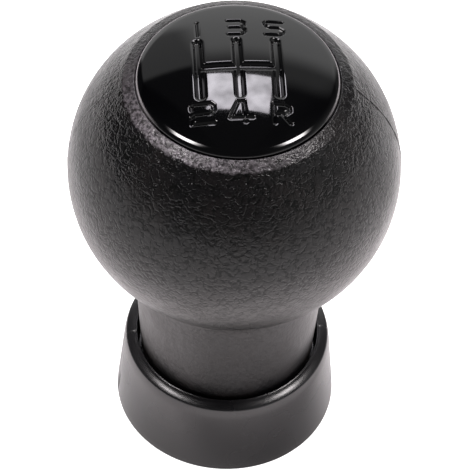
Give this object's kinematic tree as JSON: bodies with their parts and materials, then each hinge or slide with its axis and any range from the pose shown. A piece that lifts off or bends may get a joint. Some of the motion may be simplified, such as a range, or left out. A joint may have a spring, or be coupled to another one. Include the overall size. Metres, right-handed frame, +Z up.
{
  "type": "gear shift knob",
  "caption": "Ball gear shift knob: grained grip on a tapered neck, domed cap with an engraved shift gate, and a collar that covers the top of the lever boot.",
  "frame": {"origin": "centre of the collar's foot, on the axis of the lever", "axes": "+Z up the lever towards the cap, +Y away from the driver, +X to the driver's right"},
  "size_m": [0.052, 0.052, 0.0788],
  "materials": {
    "badge": "polished black, engraved",
    "badge_pad": "double-sided foam tape",
    "grip_skin": "moulded soft skin with a leather grain, satin",
    "core": "glass-filled nylon, as moulded",
    "threaded_insert": "turned, knurled and tapped",
    "collar": "semi-gloss black moulding",
    "snap_ring": "spring steel, blackened",
    "boot_ring": "black nylon, as moulded"
  },
  "bodies": {
    "root": {"badge": "badge", "badge_pad": "badge_pad", "grip_skin": "grip_skin", "core": "core", "threaded_insert": "threaded_insert", "collar": "collar", "snap_ring": "snap_ring", "boot_ring": "boot_ring"}
  },
  "joints": []
}
